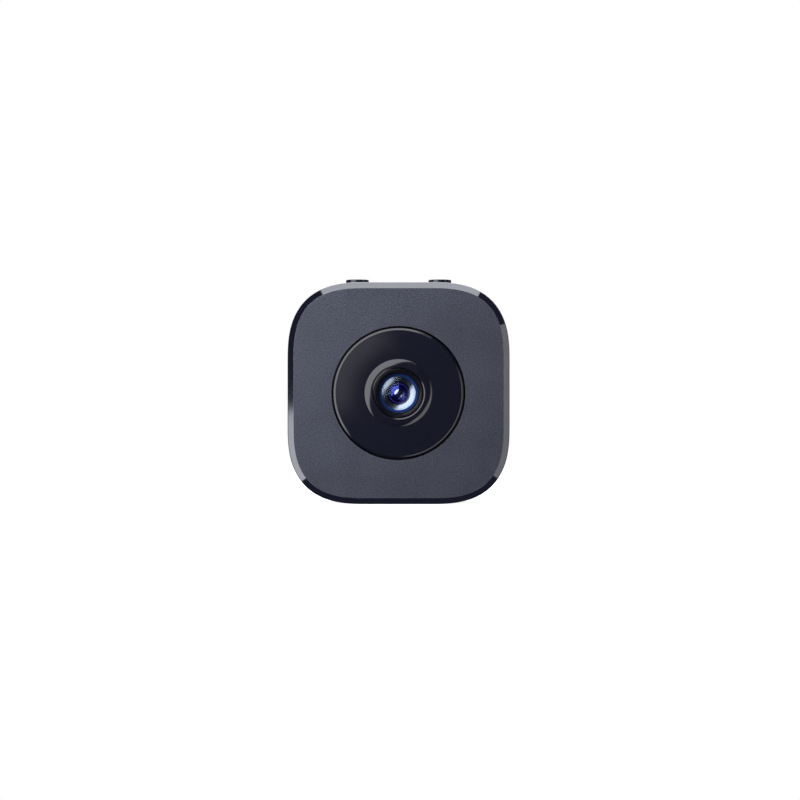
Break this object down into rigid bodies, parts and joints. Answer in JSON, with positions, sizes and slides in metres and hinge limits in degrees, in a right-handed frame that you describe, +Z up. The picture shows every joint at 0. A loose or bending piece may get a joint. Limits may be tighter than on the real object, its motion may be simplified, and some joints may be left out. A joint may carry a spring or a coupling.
{
  "type": "dash camera",
  "caption": "Compact square dash camera: rounded case in three shells, round lens bezel at the front, push buttons on top, magnetic stick-on base plate underneath.",
  "frame": {"origin": "centre of the bounding box, at the flat base the camera stands on", "axes": "+Z up towards the buttons; the lens looks along -Y; +X is to the right when looking at the lens"},
  "size_m": [0.054, 0.0272, 0.055],
  "materials": {
    "frame_aluminium": "bead-blasted and anodised dark grey, with a polished chamfer",
    "bezel_gloss": "high-gloss black moulding",
    "housing_plastic": "fine spark-eroded texture, dark grey",
    "barrel_black": "black anodised, turned",
    "optical_glass": "polished, with a blue-violet anti-reflection coating",
    "gasket_foam": "soft black closed-cell foam",
    "holder_plastic": "black glass-filled plastic",
    "chip_black": "moulded black epoxy",
    "circuit_board": "green solder mask over glass-fibre board",
    "shield_steel": "tinned and stamped",
    "led_white": "white package",
    "light_pipe_clear": "clear acrylic, frosted at its outer end",
    "thermal_silicone": "soft grey-blue silicone sheet",
    "spreader_aluminium": "stamped, plain",
    "capacitor_sleeve": "shrunk blue film sleeve",
    "speaker_plastic": "black frame and cone",
    "wire_insulation": "red insulation",
    "card_plastic": "black moulding",
    "button_gloss": "high-gloss black moulding",
    "switch_plastic": "black plastic",
    "flex_film": "amber polyimide film",
    "magnet_nickel": "nickel plated",
    "plate_steel": "zinc plated sheet",
    "pad_foam": "double-sided acrylic foam tape",
    "screw_steel": "black zinc, cross recess",
    "brass_insert": "turned, knurled"
  },
  "bodies": {
    "case": {"front_frame": "frame_aluminium", "lens_bezel": "bezel_gloss", "main_housing": "housing_plastic", "rear_cover": "housing_plastic", "lens_barrel": "barrel_black", "lens_retaining_ring": "barrel_black", "lens_front_element": "optical_glass", "lens_front_spacer": "barrel_black", "lens_second_element": "optical_glass", "lens_rear_spacer": "barrel_black", "aperture_stop": "barrel_black", "lens_rear_element": "optical_glass", "lens_gasket": "gasket_foam", "focus_lock_ring": "barrel_black", "lens_holder": "holder_plastic", "infrared_filter": "optical_glass", "image_sensor": "chip_black", "main_board": "circuit_board", "processor": "chip_black", "memory_chip": "chip_black", "wireless_module": "shield_steel", "microphone": "shield_steel", "status_led": "led_white", "light_pipe": "light_pipe_clear", "thermal_pad": "thermal_silicone", "heat_spreader": "spreader_aluminium", "left_capacitor": "capacitor_sleeve", "right_capacitor": "capacitor_sleeve", "speaker": "speaker_plastic", "speaker_lead": "wire_insulation", "usb_socket": "shield_steel", "card_socket": "shield_steel", "left_switch": "shield_steel", "right_switch": "shield_steel", "button_board": "circuit_board", "button_flex": "flex_film", "mount_magnet": "magnet_nickel", "case_screw_1": "screw_steel", "thread_insert_1": "brass_insert", "board_screw_1": "screw_steel", "case_screw_2": "screw_steel", "thread_insert_2": "brass_insert", "board_screw_2": "screw_steel", "case_screw_3": "screw_steel", "thread_insert_3": "brass_insert", "board_screw_3": "screw_steel", "case_screw_4": "screw_steel", "thread_insert_4": "brass_insert", "board_screw_4": "screw_steel", "holder_screw_1": "screw_steel", "holder_screw_2": "screw_steel"},
    "left_key": {"left_button": "button_gloss", "left_switch_plunger": "switch_plastic"},
    "right_key": {"right_button": "button_gloss", "right_switch_plunger": "switch_plastic"},
    "card": {"memory_card": "card_plastic"},
    "base_plate": {"mount_plate": "plate_steel", "adhesive_pad": "pad_foam"}
  },
  "joints": [
    {"name": "left_button_press", "type": "slide", "parent": "case", "child": "left_key", "axis": [0, 0, -1], "range_m": [0, 0.0004], "stiffness_N_per_m": 2500},
    {"name": "right_button_press", "type": "slide", "parent": "case", "child": "right_key", "axis": [0, 0, -1], "range_m": [0, 0.0004], "stiffness_N_per_m": 2500},
    {"name": "card_slide", "type": "slide", "parent": "case", "child": "card", "axis": [-1, 0, 0], "range_m": [-0.0008, 0.012]},
    {"name": "base_plate_pull", "type": "slide", "parent": "case", "child": "base_plate", "axis": [0, 0, -1], "range_m": [0, 0.012]}
  ]
}
